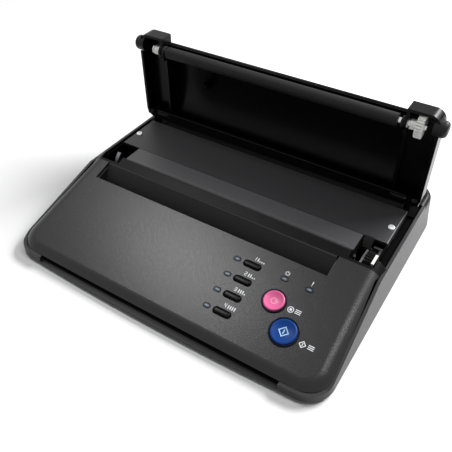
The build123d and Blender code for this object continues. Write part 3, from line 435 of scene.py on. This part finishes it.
def dished(radius, rim, dish, rows=24):
    """Cap profile (r, h): flange, straight wall, a quarter round of size rim, then a dish
    h = top - dish * (1 - (r / r0)^2) inside r0 = radius - rim."""
    a = np.radians(np.linspace(0, 90, 9))
    r0, flange = radius - rim, radius + CAP_FLANGE
    wall = [(0.0, FLANGE_LOW), (flange, FLANGE_LOW), (flange, FLANGE_HIGH),
            (radius, FLANGE_HIGH), (radius, CAP_WALL_TOP)]
    round_over = np.stack([r0 + rim * np.cos(a), CAP_TOP - rim + rim * np.sin(a)], -1)
    r = np.linspace(r0, 0.0, rows)[1:]
    bowl = np.stack([r, CAP_TOP - dish * (1 - (r / r0) ** 2)], -1)
    return np.concatenate([wall, round_over, bowl])


copy_cap = turned("copy_cap", dished(COPY_R, COPY_RIM, COPY_DISH), panel_point(*COPY_AT),
                  PANEL_NORMAL, "copy_cap", "copy")
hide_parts("copy_button")
stop_cap = turned("stop_cap", dished(STOP_R, STOP_RIM, STOP_DISH), panel_point(*STOP_AT),
                  PANEL_NORMAL, "stop_cap", "stop")
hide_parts("stop_button")
# painted shadow: a dark raised ring round each cap stands in for the shade in the gap between cap
# and panel
for name, at, radius in (("copy_gap_shadow_ring", COPY_AT, COPY_R), ("stop_gap_shadow_ring", STOP_AT, STOP_R)):
    turned(name, [(radius + 0.25, -0.6), (radius + 1.25, -0.6), (radius + 1.25, 0.86),
                  (radius + 1.1, 0.95), (radius + 0.4, 0.95), (radius + 0.25, 0.86),
                  (radius + 0.25, -0.6)],
           panel_point(*at), PANEL_NORMAL, "ring_abs", "base")
panel_marks("copy_symbol", [(*COPY_AT, side) for side in lozenge(4.2, 0.8)], "pale_blue_ink",
            "copy", lift=0.62, dish=(COPY_R - COPY_RIM, COPY_DISH))
panel_marks("stop_symbol", [(*STOP_AT, arc) for arc in ring_arcs(2.2, 0.45, 0, 360)],
            "pale_pink_ink", "stop", lift=0.46, dish=(STOP_R - STOP_RIM, STOP_DISH))


# ---------------------------------------------------------------- option keys and lamp windows
def pill(name, x, y, length, width, rows, finish, body):
    """Rounded bar standing on the panel: row (inset, lift) is a stadium outline of half-length
    s = (length - width) / 2 and end radius width / 2 - inset, raised by lift; the first
    parameter runs through the rows and the second round the outline."""
    a = np.linspace(0, 2 * math.pi, 40, endpoint=False)
    straight = (length - width) / 2
    inset, lift = np.asarray(rows, float).T
    reach = np.maximum(width / 2 - inset, 0.0)
    u = np.sign(np.cos(a)) * straight + reach[:, None] * np.cos(a)
    v = reach[:, None] * np.sin(a)
    points = on_panel(x + u, v, lift[:, None], y).reshape(-1, 3)
    faces = grid_faces(len(rows), len(a))
    faces.append(list(range((len(rows) - 1) * len(a), len(rows) * len(a))))
    faces.append(list(range(len(a) - 1, -1, -1)))
    return piece(name, points, faces, finish, body)


def ring_pill(name, x, y, length, width, finish, body, wide=0.7, high=0.14):
    """Low rounded rim round a key or a window: a half-ellipse section wide x high, closed by
    its flat underside, swept along a stadium outline of the given length and width."""
    a = np.linspace(0, 2 * math.pi, 48, endpoint=False)
    t = np.append(np.linspace(0, math.pi, 7), 0.0)
    straight = (length - width) / 2
    reach = width / 2 + wide / 2 * (1 - np.cos(t))
    u = np.sign(np.cos(a)) * straight + reach[:, None] * np.cos(a)
    v = reach[:, None] * np.sin(a)
    lift = (0.02 + high * np.sin(t))[:, None]
    points = on_panel(x + u, v, lift, y).reshape(-1, 3)
    return piece(name, points, [f[::-1] for f in grid_faces(len(t), len(a))], finish, body)


EDGE_ROUND = 1.3
quarter = np.radians(np.arange(10, 91, 10))
key_rows = np.concatenate([
    [(-EDGE_ROUND, FLANGE_LOW), (-EDGE_ROUND, FLANGE_HIGH), (0.0, FLANGE_HIGH), (0.0, 0.35)],
    np.stack([EDGE_ROUND * (1 - np.cos(quarter)), 0.45 + 0.95 * np.sin(quarter)], -1)])
core_rows = [(0.0, 0.22), (0.1, 0.34), (0.3, 0.40)]
KEY_SIZE, KEY_RIM_SIZE, WINDOW_SIZE, CORE_SIZE = (13.5, 4.2), (14.3, 5.0), (4.6, 2.4), (2.1, 0.8)
for number, y in enumerate(OPTION_YS, start=1):
    key = pill(f"option_key_{number}", OPTION_X, y, *KEY_SIZE, key_rows, "key_abs",
               f"option_{number}")
    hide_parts(f"option_button_{number}")
for number, y in enumerate(OPTION_YS, start=1):
    ring_pill(f"key_rim_{number}", OPTION_X, y, *KEY_RIM_SIZE, "key_abs", "base", wide=0.6)
    ring_pill(f"window_rim_{number}", LAMP_X, y, *WINDOW_SIZE, "ring_abs", "base", wide=0.9)
    pill(f"window_core_{number}", LAMP_X, y, *CORE_SIZE, core_rows, "lamp_core", "base")
for name, at in (("power", POWER_AT), ("error", ERROR_AT)):
    ring_pill(f"{name}_window_rim", *at, *WINDOW_SIZE, "ring_abs", "base", wide=0.9)
    pill(f"{name}_window_core", *at, *CORE_SIZE, core_rows, "lamp_core", "base")


# ---------------------------------------------------------------- lining, painted gap shadow, bushes, beads
# lining of the document recess: its visible face slopes from the rear edge of the panel's
# opening forward and down to the feed gap
EDGE_REAR, EDGE_FRONT = -11.35, -12.62
prism("recess_lining", [(EDGE_REAR, panel_height(EDGE_REAR) - 0.05),
                        (EDGE_FRONT, panel_height(EDGE_FRONT) - 0.05),
                        (-23.6, 22.7), (-23.4, 22.4), (-12.3, 33.8), (EDGE_REAR, 33.8)],
      -117.2, 102.2, "recess_abs", "base")
# painted shadow: a thin black strip on the panel's rear edge stands in for the shade in the gap
# behind it
SHADOW_STRIP_FRONT, SHADOW_STRIP_REAR = -3.1, -1.95
prism("gap_shadow_strip", [(SHADOW_STRIP_FRONT, panel_height(SHADOW_STRIP_FRONT) - 0.3),
                    (SHADOW_STRIP_FRONT, panel_height(SHADOW_STRIP_FRONT) + 0.06),
                    (SHADOW_STRIP_REAR, panel_height(SHADOW_STRIP_REAR) + 0.06),
                    (SHADOW_STRIP_REAR, panel_height(SHADOW_STRIP_REAR) - 0.3)],
      -109.0, 109.0, "gap_shadow_black", "base")


def sleeve(name, x0, x1, outer, finish):
    """Bush: a tube section with corners cut by 0.3, turned round the roller axis and bored for
    the shaft."""
    cut = 0.3
    profile = [(SHAFT_BORE, x0), (outer - cut, x0), (outer, x0 + cut), (outer, x1 - cut),
               (outer - cut, x1), (SHAFT_BORE, x1), (SHAFT_BORE, x0)]
    return turned(name, profile, (0, PLATEN_Y, PLATEN_Z), (1, 0, 0), finish, "lid", around=64)


# on each side a white barrel outside the lid's eye and a dark collar inside it
for bush in (sleeve("bush_barrel_left", -118.4, -109.7, 4.0, "nylon"),
             sleeve("bush_collar_left", -109.6, -107.4, 4.9, "rubber"),
             sleeve("bush_collar_right", 107.4, 109.6, 4.3, "rubber"),
             sleeve("bush_barrel_right", 109.7, 112.6, 3.4, "nylon")):
    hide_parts("platen_bushes")

prism("latch_tab_right", [(-4.6, 33.0), (-4.6, 36.6), (5.2, 37.4), (6.0, 36.6), (6.0, 33.0)],
      125.6, 127.6, "nylon", "base")


def bead(name, y, z, radius, half_length):
    """Round bead along X on the lid: a circle of the radius swept from minus to plus the
    half-length, with quarter-round closed ends."""
    t = np.radians(np.linspace(0, 90, 6))
    left = np.stack([radius * np.sin(t), -half_length + radius * (1 - np.cos(t))], -1)
    right = np.stack([radius * np.cos(t), half_length - radius * (1 - np.sin(t))], -1)
    return turned(name, np.concatenate([left, right]), (0, y, z), (1, 0, 0), "gloss_abs", "lid",
                  around=24)


bead("rim_bead", 67.3, 49.3, 0.75, 123.0)
bead("lid_edge_bead", 77.4, 115.9, 0.8, 109.5)
bead("skin_edge_bead", 79.2, 115.6, 0.7, 109.5)


# ---------------------------------------------------------------- camera and light
AZIMUTH, ELEVATION, ROLL = math.radians(33.12), math.radians(42.23), math.radians(-0.77)
CAMERA_AT = (0.19471, -0.30100, 0.33605)
FRAME_PIXELS, FOCAL_PIXELS, SENSOR_MM = 452, 569.49, 36.0
FLOOR_HALF = 12.0
AMBIENT, WHITE = 0.17, 1.0    # what the world gives as light, and what it shows


def pale_floor():
    """Plain square of pale matt paper at z = 0."""
    s = FLOOR_HALF
    mesh = bpy.data.meshes.new("floor")
    mesh.from_pydata([(-s, -s, 0), (s, -s, 0), (s, s, 0), (-s, s, 0)], [], [(0, 1, 2, 3)])
    floor = bpy.data.objects.new("floor", mesh)
    bpy.context.scene.collection.objects.link(floor)
    # uncoated paper: no shine, so that it shows only the soft shadow
    paper = bpy.data.materials.new("white paper sweep")
    paper.use_nodes = True
    shader = paper.node_tree.nodes["Principled BSDF"]
    shader.inputs["Roughness"].default_value = 0.9
    shader.inputs["Base Color"].default_value = colour("#F4F4F5")
    mesh.materials.append(paper)


def white_world():
    """White for camera, transmission and glossy rays, and a weak even light for the rest."""
    world = bpy.data.worlds.new("studio")
    bpy.context.scene.world = world
    world.use_nodes = True
    tree = world.node_tree
    background = tree.nodes["Background"]
    path = put(tree, "ShaderNodeLightPath").outputs
    seen = put(tree, "ShaderNodeMath", {0: path["Is Camera Ray"], 1: path["Is Transmission Ray"]},
               operation="MAXIMUM").outputs[0]
    seen = put(tree, "ShaderNodeMath", {0: seen, 1: path["Is Glossy Ray"]},
               operation="MAXIMUM").outputs[0]
    strength = put(tree, "ShaderNodeMapRange", {"Value": seen, "To Min": AMBIENT,
                                                "To Max": WHITE})
    tree.links.new(strength.outputs["Result"], background.inputs["Strength"])
    background.inputs["Color"].default_value = (1, 1, 1, 1)


def softbox(name, place, target, size, power):
    """Rectangular lamp at place, facing target, size in metres and power in watts."""
    lamp = bpy.data.lights.new(name, "AREA")
    lamp.shape, lamp.size, lamp.size_y, lamp.energy = "RECTANGLE", size[0], size[1], power
    holder = bpy.data.objects.new(name, lamp)
    holder.location = place
    holder.rotation_euler = (Vector(target) - Vector(place)).to_track_quat("-Z", "Y").to_euler()
    bpy.context.scene.collection.objects.link(holder)


def studio_camera():
    """Camera axes from azimuth, elevation and roll: back points from the object to the camera,
    right lies level before the roll, and up is back x right."""
    back = Vector((math.sin(AZIMUTH) * math.cos(ELEVATION),
                   -math.cos(AZIMUTH) * math.cos(ELEVATION), math.sin(ELEVATION)))
    right = Vector((math.cos(AZIMUTH), math.sin(AZIMUTH), 0))
    up = back.cross(right)
    right, up = (right * math.cos(ROLL) + up * math.sin(ROLL),
                 up * math.cos(ROLL) - right * math.sin(ROLL))
    lens = bpy.data.cameras.new("studio camera")
    lens.sensor_width = SENSOR_MM
    lens.lens = FOCAL_PIXELS / FRAME_PIXELS * SENSOR_MM
    lens.shift_x, lens.shift_y = -0.84 / FRAME_PIXELS, -1.11 / FRAME_PIXELS
    lens.clip_start = 0.01
    camera = bpy.data.objects.new("studio camera", lens)
    turn = Matrix((right, up, back)).transposed().to_4x4()
    camera.matrix_world = Matrix.Translation(CAMERA_AT) @ turn
    bpy.context.scene.collection.objects.link(camera)
    bpy.context.scene.camera = camera


bpy.context.scene.view_settings.view_transform = "Standard"
pale_floor()
white_world()
softbox("sheen softbox", (-0.54, 0.07, 1.15), (0.0, -0.06, 0.02), (0.20, 0.4), 4.0)
softbox("shoulder strip light", (0.54, 0.11, 1.15), (0.1, -0.05, 0.02), (0.08, 0.6), 3.0)
softbox("rear softbox", (0.60, 0.98, 0.90), (0, 0, 0), (0.8, 0.5), 32)
studio_camera()
